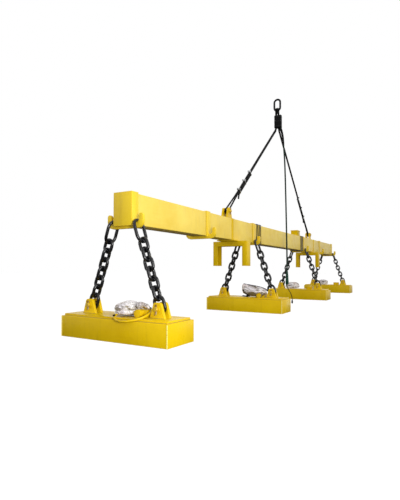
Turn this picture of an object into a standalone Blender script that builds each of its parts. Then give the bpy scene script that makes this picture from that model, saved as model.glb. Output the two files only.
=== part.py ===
"""Electromagnet spreader beam: a welded box beam on a two-leg rope sling, carrying four rectangular
lifting magnets, each on a pair of chains hooked over the beam's J-hooks.

Metres, +Z up, +X along the beam. The origin is the crane hook's seat inside the master link.
Heights below are first given from the beam's centre line and shifted by BEAM_Z at the end.
"""

import math

import bmesh
import bpy
from mathutils import Matrix, Vector

# ---- driving dimensions ------------------------------------------------------------------------
GAP = 0.0003  # clearance between touching pieces
STEEL_SIDES = 10  # sides of a turned piece

BEAM_LENGTH, BEAM_WIDTH, BEAM_HEIGHT, BEAM_WALL = 8.950, 0.200, 0.300, 0.010
STATIONS = (1.479, 2.990, 4.437)  # hook stations, each side of the middle
MAGNET_STATIONS = (-4.437, -1.479, 1.479, 4.437)
COLLAR_WIDTH, COLLAR_THICK = 0.100, 0.010
END_PLATE, END_PLATE_PROUD = 0.012, 0.002

HOOK_THICK = 0.030
HOOK_BOTTOM, HOOK_TIP_TOP = -0.185, -0.045
THROAT_Y, THROAT_Z, THROAT_RADIUS = 0.135, -0.098, 0.034
TIP_WIDTH = 0.046

WIRE = 0.016  # radius of the chain wire
LINK_PITCH, LINK_CROWN = 0.0930, 0.0415  # bearing to bearing, and the crown's centre line radius
REGULAR_LINKS = 6
TOP_LINK_CROWN, END_LINK_CROWN = 0.065, 0.050
END_LINK_SHARE = 0.394  # share of the length left over by the regular links
SEAT_GAP, PIN_GAP = 0.004, 0.003  # running room at the hook's seat and at the magnet's pin
BITE = 0.003  # how far neighbouring links are pressed into each other

MAGNET_X, MAGNET_Y, MAGNET_Z = 0.420, 1.258, 0.200
MAGNET_TOP = -1.021
MAGNET_WALL, MAGNET_ROOF = 0.030, 0.035
CORE_X, CORE_Y = 0.110, 0.950
COVER_THICK = 0.010
TOP_PLATE_X, TOP_PLATE_Y, TOP_PLATE_THICK = 0.370, 1.210, 0.020
PIN_Y, PIN_Z, PIN_RADIUS = 0.410, -0.918, 0.020
EAR_GAP, EAR_THICK, EAR_BASE, EAR_REACH, EAR_CORNER = 0.055, 0.030, 0.158, 0.0565, 0.026
GUARD_Y, GUARD_RADIUS, GUARD_BAR, GUARD_TILT = -0.163, 0.167, 0.010, 17.0
GUARD_NEAR_X, GUARD_NEAR_Z = -0.248, -1.021  # where the guard ring reaches furthest and lowest
DRUM_Y, DRUM_RADIUS, DRUM_FRONT, DRUM_BACK = -0.222, 0.038, -0.100, -0.020
TERMINAL_BOX_X, TERMINAL_BOX_Y, TERMINAL_BOX_TOP = (-0.045, 0.095), (-0.290, -0.160), -0.935
PACK_X, PACK_WIDTH, PACK_LIFT = -0.010, 0.290, 0.004
PACK_FULLNESS = 1.17  # how much wider the pack's lower half is than a ball's, towards its foot
PACKS = (  # each pack's middle in Y, length, top, and how much higher it stands at its +Y end
    (-0.072, 0.336, -0.853, 0.0),
    (-0.115, 0.430, -0.790, 0.30),
    (0.150, 0.330, -0.835, 0.0),
    (0.130, 0.290, -0.845, 0.0),
)
GUARDED = 1  # the magnet with a guard ring

LUG_X, LUG_PIN_Z = 2.247, 0.262
LUG_EAR_GAP, LUG_EAR_THICK, LUG_EAR_BASE, LUG_REACH, LUG_CORNER = 0.050, 0.025, 0.165, 0.050, 0.036
LUG_PAD_X, LUG_PAD_Y, LUG_PAD_THICK = 0.180, 0.124, 0.012
PIN_PROUD, PIN_HEAD_FLANGE, PIN_HEAD_THICK = 0.026, 0.011, 0.012
WASHER_FLANGE, WASHER_THICK = 0.012, 0.008
SPLIT_PIN_OUT, SPLIT_PIN_THICK, SPLIT_PIN_WIDE = 0.013, 0.008, 0.008
SPLIT_PIN_TOP, SPLIT_PIN_FOOT = 0.030, -0.046
FRAME_FACES = (-2.146, 2.272)  # outer face of each parking frame
STRAP_OFFSET = 0.107  # from that face out to the strap's middle
BOX_X, BOX_Y, BOX_HEIGHT, LID_HEIGHT, LID_LIP = (1.005, 1.195), (-0.095, 0.045), 0.118, 0.020, 0.005
FRAME_DEPTH, FRAME_FLANGE, FLANGE_THICK, WEB_THICK = 0.140, 0.070, 0.010, 0.007
FRAME_HALF_SPAN, FRAME_FOOT = 0.265, -0.518
SADDLE_THICK, SADDLE_HALF, STRAP_WIDTH, STRAP_THICK = 0.012, 0.135, 0.070, 0.008

ROPE = 0.013  # rope radius
PIN_ROOM, LINK_ROOM = 0.001, 0.009  # between the rope and the pin or link that it bends round
ROPE_HALF_APART = 0.01375  # half the distance between a leg's two parts where they lie together
LEG_SIDE = 0.026  # how far each leg is off the middle in the sleeve
LEG_CLOSING = 0.4  # the share by which that is less at the link
APEX_Z, GRIP_BOTTOM, GRIP_TOP = 2.130, 2.160, 2.400
BEND_BELOW, BEND_ABOVE = 0.090, 0.045  # how far the legs' bend reaches from the gathering point
CLIP_PLACES = (0.588, 0.861, 1.156)  # along the leg, from the lug pin
TAIL_OFFSET = -0.043  # the rope's dead end lies this far under the leg
CLIP_WIDE, CLIP_HALF, CLIP_BAR = 0.028, 0.0165, 0.005
CLIP_LOW, CLIP_HIGH = -0.0505, 0.0288  # inside of a clip, across the leg
NUT_RADIUS, NUT_LOW, NUT_HIGH = 0.009, 0.005, 0.022
LINK_Z = 2.500  # centre of the master link's lower crown wire
MASTER_WIRE, MASTER_WIDTH, MASTER_LENGTH = 0.018, 0.080, 0.180

CABLE = 0.014  # radius of the supply cable
LEAD = 0.007  # radius of the pigtail
CABLE_Y = -0.0565
SLEEVE_HALF_X, SLEEVE_WALL, SLEEVE_ROOM = 0.035, 0.0045, 0.006
CABLE_ROUTE = (
    (0.0, CABLE_Y, 2.300), (0.0, CABLE_Y, 2.230), (0.0, -0.059, 2.165), (0.0, -0.074, 2.115),
    (0.0, -0.092, 2.050), (0.0, -0.108, 1.970), (0.0, -0.118, 1.870), (0.0, -0.127, 1.740),
    (0.0, -0.142, 1.500),
    (0.0, -0.152, 1.200), (0.0, -0.160, 0.850), (0.0, -0.167, 0.500), (0.0, -0.173, 0.150),
    (0.0, -0.178, -0.150), (0.0, -0.180, -0.400), (0.0, -0.180, -0.600),
)
LEAD_ROUTE = (
    (0.0, -0.180, -0.8505), (0.0, -0.180, -0.875), (0.0, -0.187, -0.905), (0.0, -0.200, -0.935),
    (0.0, -0.218, -0.965), (0.0, -0.236, -0.995), (0.0, -0.252, -1.025), (0.0, -0.264, -1.055),
    (0.0, -0.272, -1.085), (0.0, -0.276, -1.115), (0.0, -0.276, -1.140),
)
CONNECTOR_SECTIONS = ((0.017, -0.6003), (0.019, -0.66), (0.027, -0.76), (0.031, -0.80), (0.031, -0.85))
LEAD_PLUG_SECTIONS = ((0.011, -1.1403), (0.015, -1.155), (0.015, -1.205))  # radius and height

BEAM_Z = -(LINK_Z + MASTER_WIRE + MASTER_LENGTH)  # beam centre line below the crane hook's seat

# ---- materials ---------------------------------------------------------------------------------
FINISHES = {
    "yellow_paint": ((0.80, 0.56, 0.04), 0.45, 0.0),
    "black_steel": ((0.02, 0.02, 0.025), 0.35, 0.6),
    "pin_steel": ((0.35, 0.30, 0.14), 0.40, 0.6),
    "black_rope": ((0.02, 0.02, 0.02), 0.65, 0.2),
    "zinc": ((0.60, 0.61, 0.62), 0.35, 0.9),
    "rubber": ((0.02, 0.03, 0.025), 0.60, 0.0),
    "copper": ((0.55, 0.25, 0.12), 0.40, 0.8),
    "stainless": ((0.55, 0.55, 0.55), 0.35, 0.9),
    "film": ((0.72, 0.70, 0.74), 0.20, 0.0),
}


def clear_scene():
    for old in list(bpy.data.objects):
        bpy.data.objects.remove(old)


def finish(name):
    made = bpy.data.materials.get(name)
    if made is None:
        colour, roughness, metallic = FINISHES[name]
        made = bpy.data.materials.new(name)
        made.use_nodes = True
        shader = made.node_tree.nodes["Principled BSDF"]
        shader.inputs["Base Color"].default_value = (*colour, 1.0)
        shader.inputs["Roughness"].default_value = roughness
        shader.inputs["Metallic"].default_value = metallic
    return made


# ---- shape helpers -----------------------------------------------------------------------------
def mesh_from(bm):
    bmesh.ops.recalc_face_normals(bm, faces=bm.faces)
    mesh = bpy.data.meshes.new("shape")
    bm.to_mesh(mesh)
    bm.free()
    return mesh


def prism(outline, axis, low, high):
    """A flat outline pushed out along an axis. Its two numbers are the other two axes in order."""
    bm = bmesh.new()
    corners = []
    for a, b in outline:
        point = [a, b]
        point.insert("XYZ".index(axis), low)
        corners.append(bm.verts.new(point))
    face = bm.faces.new(corners)
    grown = bmesh.ops.extrude_face_region(bm, geom=[face])["geom"]
    shift = [0.0, 0.0, 0.0]
    shift["XYZ".index(axis)] = high - low
    bmesh.ops.translate(bm, vec=shift, verts=[v for v in grown if isinstance(v, bmesh.types.BMVert)])
    return mesh_from(bm)


def box(x, y, z):
    return prism([(y[0], z[0]), (y[1], z[0]), (y[1], z[1]), (y[0], z[1])], "X", *x)


def arc(centre, radius, start, end, steps):
    """Points of a circle's arc, angles in degrees."""
    turns = [math.radians(start + (end - start) * i / steps) for i in range(steps + 1)]
    return [(centre[0] + radius * math.cos(t), centre[1] + radius * math.sin(t)) for t in turns]


def disc(axis, centre, radius, low, high, sides=STEEL_SIDES):
    return prism(arc(centre, radius, 0, 360 - 360 / sides, sides - 1), axis, low, high)


def joined(meshes):
    """Several shapes as one mesh, with nothing cut or merged."""
    bm = bmesh.new()
    for mesh in meshes:
        bm.from_mesh(mesh)
    return mesh_from(bm)


def combined(first, second, operation):
    """The two shapes' union or difference, from Blender's exact Boolean."""
    body = bpy.data.objects.new("body", first)
    tool = bpy.data.objects.new("tool", second)
    for piece in (body, tool):
        bpy.context.collection.objects.link(piece)
    cut = body.modifiers.new("cut", "BOOLEAN")
    cut.operation = operation
    cut.object = tool
    bpy.context.view_layer.update()
    result = bpy.data.meshes.new_from_object(body.evaluated_get(bpy.context.evaluated_depsgraph_get()))
    for piece in (body, tool):
        bpy.data.objects.remove(piece)
    return result


def add(name, mesh, material, at=(0.0, 0.0, 0.0)):
    """Puts a shape in the scene as a named piece, moved by `at` and down to the beam's height."""
    mesh.transform(Matrix.Translation(Vector(at) + Vector((0.0, 0.0, BEAM_Z))))
    mesh.materials.clear()
    mesh.materials.append(finish(material))
    mesh.shade_smooth()
    mesh.set_sharp_from_angle(angle=math.radians(35))
    piece = bpy.data.objects.new(name, mesh)
    bpy.context.collection.objects.link(piece)
    return piece


def smooth_route(points, spacing):
    """Evenly spaced points of the Catmull-Rom curve through a route."""
    knots = [Vector(p) for p in points]
    knots = [2 * knots[0] - knots[1], *knots, 2 * knots[-1] - knots[-2]]
    fine = []
    for a, b, c, d in zip(knots, knots[1:], knots[2:], knots[3:]):
        for i in range(20):
            t = i / 20
            bend = (2 * a - 5 * b + 4 * c - d) * t**2
            twist = (3 * b - a - 3 * c + d) * t**3
            fine.append(0.5 * (2 * b + (c - a) * t + bend + twist))
    fine.append(knots[-2])
    lengths = [0.0]
    for a, b in zip(fine, fine[1:]):
        lengths.append(lengths[-1] + (b - a).length)
    count = max(2, round(lengths[-1] / spacing))
    even = []
    at = 0
    for i in range(count + 1):
        wanted = lengths[-1] * i / count
        while at < len(fine) - 2 and lengths[at + 1] < wanted:
            at += 1
        share = (wanted - lengths[at]) / (lengths[at + 1] - lengths[at])
        even.append(fine[at].lerp(fine[at + 1], share))
    return even


def tube(name, points, radius, material, resolution=2, closed=False):
    """A round tube along points, as a bevelled curve with filled ends."""
    data = bpy.data.curves.new(name, "CURVE")
    data.dimensions = "3D"
    data.bevel_depth = radius
    data.bevel_resolution = resolution
    data.use_fill_caps = not closed
    data.materials.append(finish(material))
    spline = data.splines.new("POLY")
    spline.points.add(len(points) - 1)
    for knot, point in zip(spline.points, points):
        knot.co = (*point, 1.0)
    spline.use_cyclic_u = closed
    piece = bpy.data.objects.new(name, data)
    piece.location = (0.0, 0.0, BEAM_Z)
    bpy.context.collection.objects.link(piece)
    return piece


def tube_mesh(points, radius, resolution=1):
    """The same tube as a plain mesh, for joining to another shape."""
    piece = tube("guide", points, radius, "zinc", resolution)
    bpy.context.view_layer.update()
    mesh = bpy.data.meshes.new_from_object(piece.evaluated_get(bpy.context.evaluated_depsgraph_get()))
    bpy.data.objects.remove(piece)
    bm = bmesh.new()
    bm.from_mesh(mesh)
    bmesh.ops.remove_doubles(bm, verts=bm.verts, dist=1e-5)
    return mesh_from(bm)


def ring(path, centre, along, across, radius, sides=6):
    """A closed link: a wire swept round a flat path given in (along, across) lengths from the centre."""
    bm = bmesh.new()
    normal = along.cross(across)
    rows = []
    for i, (s, w) in enumerate(path):
        here, before, after = Vector((s, w)), Vector(path[i - 1]), Vector(path[(i + 1) % len(path)])
        arriving, leaving = (here - before).normalized(), (after - here).normalized()
        tangent = (arriving + leaving).normalized()
        mitre = 1 / arriving.dot(tangent)
        outward = mitre * (tangent.y * along - tangent.x * across)
        middle = centre + s * along + w * across
        row = []
        for k in range(sides):
            turn = 2 * math.pi * k / sides
            offset = math.cos(turn) * outward + math.sin(turn) * normal
            row.append(bm.verts.new(middle + radius * offset))
        rows.append(row)
    for i, row in enumerate(rows):
        following = rows[(i + 1) % len(rows)]
        for k in range(sides):
            bm.faces.new((row[k], row[(k + 1) % sides], following[(k + 1) % sides], following[k]))
    return mesh_from(bm)


def link_path(inner_length, crown, wire, steps):
    """An oblong link's centre line, with inner crowns inner_length apart even where they are faceted."""
    reach = inner_length / 2 + wire
    straight = reach - crown * (math.cos(math.pi / (2 * steps)) if steps % 2 else 1.0)
    top = [(straight + crown * math.cos(t), crown * math.sin(t)) for t in crown_angles(steps)]
    return top + [(-s, -w) for s, w in top]


def crown_angles(steps):
    return [math.pi / 2 - math.pi * i / steps for i in range(steps + 1)]


# ---- beam --------------------------------------------------------------------------------------
def frame_ring(half_y, half_z, thick, low, high):
    """A rectangular band round the beam."""
    outer = box((low, high), (-half_y - thick, half_y + thick), (-half_z - thick, half_z + thick))
    inner = box((low - 0.01, high + 0.01), (-half_y, half_y), (-half_z, half_z))
    return combined(outer, inner, "DIFFERENCE")


def make_beam():
    half = BEAM_LENGTH / 2
    wall = BEAM_WALL
    tube_shape = frame_ring(BEAM_WIDTH / 2 - wall, BEAM_HEIGHT / 2 - wall, wall, -half, half)
    add("beam", tube_shape, "yellow_paint")


def hook_outline():
    """The plate under the beam with a J-hook turned up at each end, as (y, z)."""
    tip_in, tip_out = THROAT_Y + THROAT_RADIUS, THROAT_Y + THROAT_RADIUS + TIP_WIDTH
    tip_round = TIP_WIDTH / 2
    buried = BEAM_WIDTH / 2 + COLLAR_THICK / 2
    side = [(0.148 + 0.067 * math.sin(t), HOOK_BOTTOM + 0.067 * (1 - math.cos(t)))
            for t in (0.0, math.pi / 6, math.pi / 3, math.pi / 2)]
    side += arc((tip_in + tip_round, HOOK_TIP_TOP - tip_round), tip_round, 0, 180, 5)
    side += arc((THROAT_Y, THROAT_Z), THROAT_RADIUS, 0, -150, 6)
    side += [(buried, THROAT_Z - 0.012), (buried, -BEAM_HEIGHT / 2 - COLLAR_THICK / 2)]
    side[3] = (tip_out, side[3][1])
    return side + [(-y, z) for y, z in reversed(side)]


def make_collars():
    half_y, half_z = BEAM_WIDTH / 2 + GAP, BEAM_HEIGHT / 2 + GAP
    half_collar = COLLAR_WIDTH / 2
    hook = prism(hook_outline(), "X", -HOOK_THICK / 2, HOOK_THICK / 2)
    for place, station in enumerate((-STATIONS[2], -STATIONS[1], -STATIONS[0], *STATIONS), start=1):
        shape = frame_ring(half_y, half_z, COLLAR_THICK, -half_collar, half_collar)
        if place in (1, 6):
            inward = math.copysign(1.0, -station)
            face = BEAM_LENGTH / 2 + GAP - abs(station)
            low, high = sorted((-inward * (face + END_PLATE), -inward * face))
            cap_y, cap_z = half_y + END_PLATE_PROUD, half_z + END_PLATE_PROUD
            cap = box((low, high), (-cap_y, cap_y), (-cap_z, cap_z))
            shape = combined(shape, cap, "UNION")
        shape = combined(shape, hook.copy(), "UNION")
        add(f"hook_collar_{place}", shape, "yellow_paint", at=(station, 0.0, 0.0))


def make_parking_frame(name, side, face):
    """An inverted U of rolled channel under the beam, on a saddle plate with a strap up both beam sides."""
    low, high = -FRAME_DEPTH, 0.0
    top = -BEAM_HEIGHT / 2 - GAP - SADDLE_THICK
    span, inner = FRAME_HALF_SPAN, FRAME_HALF_SPAN - FRAME_FLANGE
    under = top - FRAME_FLANGE
    outline = [(-span, FRAME_FOOT), (-span, top), (span, top), (span, FRAME_FOOT),
               (inner, FRAME_FOOT), (inner, under), (-inner, under), (-inner, FRAME_FOOT)]
    portal = prism(outline, "X", low, high)
    groove = box((low + FLANGE_THICK, high - FLANGE_THICK), (-span + WEB_THICK, span - WEB_THICK),
                 (FRAME_FOOT - 0.01, top - WEB_THICK))
    portal = combined(portal, groove, "DIFFERENCE")
    strap_x = (STRAP_OFFSET - STRAP_WIDTH / 2, STRAP_OFFSET + STRAP_WIDTH / 2)
    strap_z = (-BEAM_HEIGHT / 2 - SADDLE_THICK / 2, BEAM_HEIGHT / 2)
    saddle = box((low, strap_x[1]), (-SADDLE_HALF, SADDLE_HALF), (top - 0.001, -BEAM_HEIGHT / 2 - GAP))
    shape = combined(portal, saddle, "UNION")
    near, far = BEAM_WIDTH / 2 + GAP, BEAM_WIDTH / 2 + GAP + STRAP_THICK
    straps = [box(strap_x, sorted((s * near, s * far)), strap_z) for s in (-1, 1)]
    shape = combined(shape, joined(straps), "UNION")
    shape.transform(Matrix.Diagonal((side, 1.0, 1.0, 1.0)))
    if side < 0:
        shape.flip_normals()
    add(name, shape, "yellow_paint", at=(face, 0.0, 0.0))


def ear_outline(base, foot, pin, reach, corner):
    """A tapered lug plate, as (across, z): its head ends this reach above the pin, with rounded corners."""
    side, height = 0.6 * (reach - corner), pin + reach - corner
    head = arc((side, height), corner, 20, 90, 3) + arc((-side, height), corner, 90, 160, 3)
    return [(base / 2, foot), *head, (-base / 2, foot)]


def make_beam_lug(name, x):
    top = BEAM_HEIGHT / 2 + GAP
    pad_top = top + LUG_PAD_THICK
    pad = box((-LUG_PAD_X / 2, LUG_PAD_X / 2), (-LUG_PAD_Y / 2, LUG_PAD_Y / 2), (top, pad_top))
    inner, outer = LUG_EAR_GAP / 2, LUG_EAR_GAP / 2 + LUG_EAR_THICK
    outline = ear_outline(LUG_EAR_BASE, pad_top - 0.002, LUG_PIN_Z, LUG_REACH, LUG_CORNER)
    ears = joined([prism(outline, "Y", *sorted((s * inner, s * outer))) for s in (-1, 1)])
    shape = combined(pad, ears, "UNION")
    hole = disc("Y", (0.0, LUG_PIN_Z), PIN_RADIUS + GAP, -0.08, 0.08)
    add(name, combined(shape, hole, "DIFFERENCE"), "yellow_paint", at=(x, 0.0, 0.0))


def headed_pin(axis, centre, radius, half_grip):
    """A pin with a head at its far end, and a washer and a split pin at its near end."""
    head, washer = radius + PIN_HEAD_FLANGE, radius + WASHER_FLANGE
    shank = disc(axis, centre, radius, -half_grip - PIN_PROUD, half_grip + PIN_HEAD_THICK / 3)
    ends = joined([
        disc(axis, centre, head, half_grip + GAP, half_grip + PIN_HEAD_THICK),
        disc(axis, centre, washer, -half_grip - WASHER_THICK, -half_grip - GAP),
    ])
    shape = combined(shank, ends, "UNION")
    a, b = centre
    half, lean = SPLIT_PIN_WIDE / 2, 0.004
    split = [(a - half, b + SPLIT_PIN_TOP), (a + half, b + SPLIT_PIN_TOP),
             (a + half + lean, b + SPLIT_PIN_FOOT), (a - half + lean, b + SPLIT_PIN_FOOT)]
    near = -half_grip - SPLIT_PIN_OUT
    return combined(shape, prism(split, axis, near - SPLIT_PIN_THICK, near), "UNION")


def make_junction_box():
    bottom = BEAM_HEIGHT / 2 + GAP
    top = bottom + BOX_HEIGHT
    body = box(BOX_X, BOX_Y, (bottom, top - LID_HEIGHT / 2))
    lid_x, lid_y = [(low - LID_LIP, high + LID_LIP) for low, high in (BOX_X, BOX_Y)]
    lid = box(lid_x, lid_y, (top - LID_HEIGHT, top))
    add("junction_box", combined(body, lid, "UNION"), "yellow_paint")


# ---- sling -------------------------------------------------------------------------------------
def leg_axis(side):
    """The rope leg's middle line: up the slope from the lug pin, then bent upright to the master link."""
    foot = Vector((side * LUG_X, 0.0, LUG_PIN_Z))
    apex = Vector((0.0, 0.0, APEX_Z))
    slope = (apex - foot).normalized()
    length = (apex - foot).length
    before, above = apex - BEND_BELOW * slope, apex + Vector((0.0, 0.0, BEND_ABOVE))
    bend = [before.lerp(apex, t).lerp(apex.lerp(above, t), t) for t in (0.0, 0.2, 0.4, 0.6, 0.8, 1.0)]
    spread = (0.15, 0.30, 0.45, 0.60)
    run = [foot + slope * s for s in spread] + [foot + slope * s for s in (1.0, 1.5, 2.1) if s < length]
    upright = [Vector((0.0, 0.0, z)) for z in (2.28, 2.38, 2.44)]
    return foot, slope, run + bend + upright


def leg_loop(side):
    """One endless loop of rope: round the lug pin, up the leg, over the master link's crown, and back."""
    foot, slope, axis = leg_axis(side)
    crown = Vector((0.0, 0.0, LINK_Z))
    eye = PIN_RADIUS + ROPE + PIN_ROOM
    bight = MASTER_WIRE + ROPE + LINK_ROOM
    top, bottom = [], []
    travelled = 0.0
    previous = foot
    for i, point in enumerate(axis):
        travelled += (point - previous).length
        previous = point
        after = axis[i + 1] if i + 1 < len(axis) else crown
        before = axis[i - 1] if i else foot
        tangent = (after - before).normalized()
        across = Vector((-tangent.z, 0.0, tangent.x)) * -side
        near_pin = max(0.0, 1.0 - travelled / 0.5)
        near_link = max(0.0, 1.0 - (LINK_Z - point.z) / 0.12)
        apart = ROPE_HALF_APART
        apart += (eye - ROPE_HALF_APART) * near_pin**1.3 + (bight - ROPE_HALF_APART) * near_link**1.3
        top.append(point + apart * across)
        bottom.append(point - apart * across)
    normal = Vector((-slope.z, 0.0, slope.x)) * -side
    around_pin = [foot + eye * (math.cos(t) * normal - math.sin(t) * slope) for t in loop_angles()]
    over_link = [crown + bight * Vector((side * math.cos(t), 0.0, math.sin(t))) for t in loop_angles()]
    loop = top + over_link + bottom[::-1] + around_pin[::-1]
    return [p + sideways(side, p.z) for p in loop]


def sideways(side, z):
    """How far a leg is off the middle plane at a height: the left one to +Y, the right one to -Y."""
    share = min(1.0, max(0.0, 1.25 * (z - LUG_PIN_Z) / (LINK_Z - LUG_PIN_Z)))
    closing = LEG_CLOSING * min(1.0, max(0.0, (z - GRIP_TOP) / (LINK_Z - GRIP_TOP)))
    return Vector((0.0, -side * LEG_SIDE * share * (1 - closing), 0.0))


def loop_angles():
    return [math.pi * i / 8 for i in range(9)]


def clip_mesh(side):
    """Three rope clips and the rope's dead end that they grip, ending in a short drooping tail."""
    foot, slope, _ = leg_axis(side)
    across = Vector((-slope.z, 0.0, slope.x)) * -side
    if across.z < 0:
        across = -across
    start, end = CLIP_PLACES[2] + 0.035, CLIP_PLACES[0] - 0.020
    route = [foot + slope * s + across * TAIL_OFFSET for s in (start, 1.0, 0.86, 0.72, end)]
    route += [route[-1] - slope * 0.050 - across * 0.014, route[-1] - slope * 0.085 - across * 0.040]
    route = [p + sideways(side, p.z) for p in route]
    tail = tube_mesh(smooth_route(route, 0.04), ROPE)
    rings = []
    turn = Matrix((slope, Vector((0.0, 1.0, 0.0)), across)).transposed().to_4x4()
    if turn.determinant() < 0:
        turn = Matrix((-slope, Vector((0.0, 1.0, 0.0)), across)).transposed().to_4x4()
    for place in CLIP_PLACES:
        half, middle = CLIP_HALF + CLIP_BAR, CLIP_HALF + CLIP_BAR / 2
        outer = box((-CLIP_WIDE / 2, CLIP_WIDE / 2), (-half, half), (CLIP_LOW - 0.0075, CLIP_HIGH + 0.0075))
        inner = box((-CLIP_WIDE, CLIP_WIDE), (-CLIP_HALF, CLIP_HALF), (CLIP_LOW, CLIP_HIGH))
        clip = combined(outer, inner, "DIFFERENCE")
        nut_z = (CLIP_HIGH + NUT_LOW, CLIP_HIGH + NUT_HIGH)
        nuts = [disc("Z", (0.0, s * middle), NUT_RADIUS, *nut_z, 6) for s in (-1, 1)]
        clip = combined(clip, joined(nuts), "UNION")
        centre = foot + slope * place
        clip.transform(Matrix.Translation(centre + sideways(side, centre.z)) @ turn)
        rings.append(clip)
    return combined(tail, joined(rings), "UNION")


def make_sling():
    for name, side in (("left", -1), ("right", 1)):
        tube(f"sling_leg_{name}", leg_loop(side), ROPE, "black_rope", resolution=1, closed=True)
        add(f"rope_clips_{name}", clip_mesh(side), "zinc")
        make_beam_lug(f"beam_lug_{name}", side * LUG_X)
        pin = headed_pin("Y", (0.0, LUG_PIN_Z), PIN_RADIUS, LUG_EAR_GAP / 2 + LUG_EAR_THICK)
        add(f"lug_pin_{name}", pin, "pin_steel", at=(side * LUG_X, 0.0, 0.0))
    low, high = CABLE_Y - CABLE - SLEEVE_ROOM, LEG_SIDE + ROPE + SLEEVE_ROOM
    wide_x, hollow_x = SLEEVE_HALF_X, SLEEVE_HALF_X - SLEEVE_WALL
    outer = box((-wide_x, wide_x), (low - SLEEVE_WALL, high + SLEEVE_WALL), (GRIP_BOTTOM, GRIP_TOP))
    inner = box((-hollow_x, hollow_x), (low, high), (GRIP_BOTTOM - 0.01, GRIP_TOP + 0.01))
    add("sling_grip", combined(outer, inner, "DIFFERENCE"), "black_rope")
    crown = MASTER_WIDTH / 2 + MASTER_WIRE
    path = link_path(MASTER_LENGTH, crown, MASTER_WIRE, 6)
    centre = Vector((0.0, 0.0, LINK_Z + MASTER_WIRE + MASTER_LENGTH / 2))
    link = ring(path, centre, Vector((0, 0, 1)), Vector((0, 1, 0)), MASTER_WIRE, sides=8)
    add("master_link", link, "black_steel")


def make_cable():
    tube("supply_cable", smooth_route(CABLE_ROUTE, 0.075), CABLE, "rubber")
    tube("pigtail", smooth_route(LEAD_ROUTE, 0.036), LEAD, "rubber")
    end = CABLE_ROUTE[-1]
    add("cable_connector", turned(CONNECTOR_SECTIONS, end[0], end[1]), "rubber")
    end = LEAD_ROUTE[-1]
    add("pigtail_plug", turned(LEAD_PLUG_SECTIONS, end[0], end[1]), "rubber")


def turned(sections, x, y):
    """A closed round body from (radius, z) sections, top to bottom, on an upright axis."""
    bm = bmesh.new()
    rows = []
    last = 360 - 360 / STEEL_SIDES
    for radius, z in sections:
        outline = arc((x, y), radius, 0, last, STEEL_SIDES - 1)
        rows.append([bm.verts.new((a, b, z)) for a, b in outline])
    for upper, lower in zip(rows, rows[1:]):
        for k in range(STEEL_SIDES):
            bm.faces.new((upper[k], upper[(k + 1) % STEEL_SIDES], lower[(k + 1) % STEEL_SIDES], lower[k]))
    bm.faces.new(rows[0])
    bm.faces.new(rows[-1])
    return mesh_from(bm)


# ---- chains ------------------------------------------------------------------------------------
def chain_mesh(x, side):
    """Eight links from the hook's seat to the magnet's pin, alternately turned a quarter turn."""
    pin = Vector((x, side * PIN_Y, PIN_Z))
    throat = Vector((x, side * THROAT_Y, THROAT_Z))
    down = (pin - throat).normalized()
    seat = throat + down * (THROAT_RADIUS - SEAT_GAP)
    down = (pin - seat).normalized()
    length = (pin - seat).length + PIN_RADIUS + PIN_GAP
    spare = length - REGULAR_LINKS * LINK_PITCH
    lengths = [spare * (1 - END_LINK_SHARE)] + [LINK_PITCH] * REGULAR_LINKS + [spare * END_LINK_SHARE]
    crowns = [TOP_LINK_CROWN] + [LINK_CROWN] * REGULAR_LINKS + [END_LINK_CROWN]
    across = (Vector((1, 0, 0)), down.cross(Vector((1, 0, 0))))
    sets = ([], [])
    travelled = 0.0
    last = len(lengths) - 1
    for i, (pitch, crown) in enumerate(zip(lengths, crowns)):
        low = travelled + (0 if i == 0 else BITE / 2)
        high = travelled + pitch - (0 if i == last else BITE / 2)
        steps = 5 if i in (0, last) else 3
        path = link_path(high - low, crown, WIRE, steps)
        sets[i % 2].append(ring(path, seat + down * (low + high) / 2, down, across[i % 2], WIRE, sides=5))
        travelled += pitch
    return combined(joined(sets[0]), joined(sets[1]), "UNION")


# ---- magnets -----------------------------------------------------------------------------------
def plate_ring(half_x, half_y, inner_x, inner_y, low, high):
    outer = box((-half_x, half_x), (-half_y, half_y), (low, high))
    inner = box((-inner_x, inner_x), (-inner_y, inner_y), (low - 0.01, high + 0.01))
    return combined(outer, inner, "DIFFERENCE")


def make_magnet(number, x):
    at = (x, 0.0, 0.0)
    bottom, roof = MAGNET_TOP - MAGNET_Z, MAGNET_TOP - MAGNET_ROOF
    hollow_x, hollow_y = MAGNET_X / 2 - MAGNET_WALL, MAGNET_Y / 2 - MAGNET_WALL
    block = box((-MAGNET_X / 2, MAGNET_X / 2), (-MAGNET_Y / 2, MAGNET_Y / 2), (bottom, MAGNET_TOP))
    groove = plate_ring(hollow_x, hollow_y, CORE_X / 2, CORE_Y / 2, bottom - 0.02, roof)
    add(f"magnet_{number}_housing", combined(block, groove, "DIFFERENCE"), "yellow_paint", at)
    room = 0.002
    coil = plate_ring(hollow_x - room, hollow_y - room, CORE_X / 2 + room, CORE_Y / 2 + room,
                      bottom + COVER_THICK + room, roof - room)
    add(f"magnet_{number}_winding", coil, "copper", at)
    fine = 0.0005
    cover = plate_ring(hollow_x - fine, hollow_y - fine, CORE_X / 2 + fine, CORE_Y / 2 + fine,
                       bottom + fine, bottom + COVER_THICK)
    add(f"magnet_{number}_cover", cover, "stainless", at)
    guarded = number == GUARDED
    add(f"magnet_{number}_top_plate", top_plate_mesh(guarded), "yellow_paint", at)
    add(f"magnet_{number}_cable_pack", pack_mesh(*PACKS[number - 1], guarded), "film", at)
    for name, side in (("front", -1), ("rear", 1)):
        pin = headed_pin("X", (0.0, PIN_Z), PIN_RADIUS, EAR_GAP / 2 + EAR_THICK)
        add(f"magnet_{number}_pin_{name}", pin, "pin_steel", at=(x, side * PIN_Y, 0.0))
        add(f"chain_{number}_{name}", chain_mesh(x, side), "black_steel")


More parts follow.
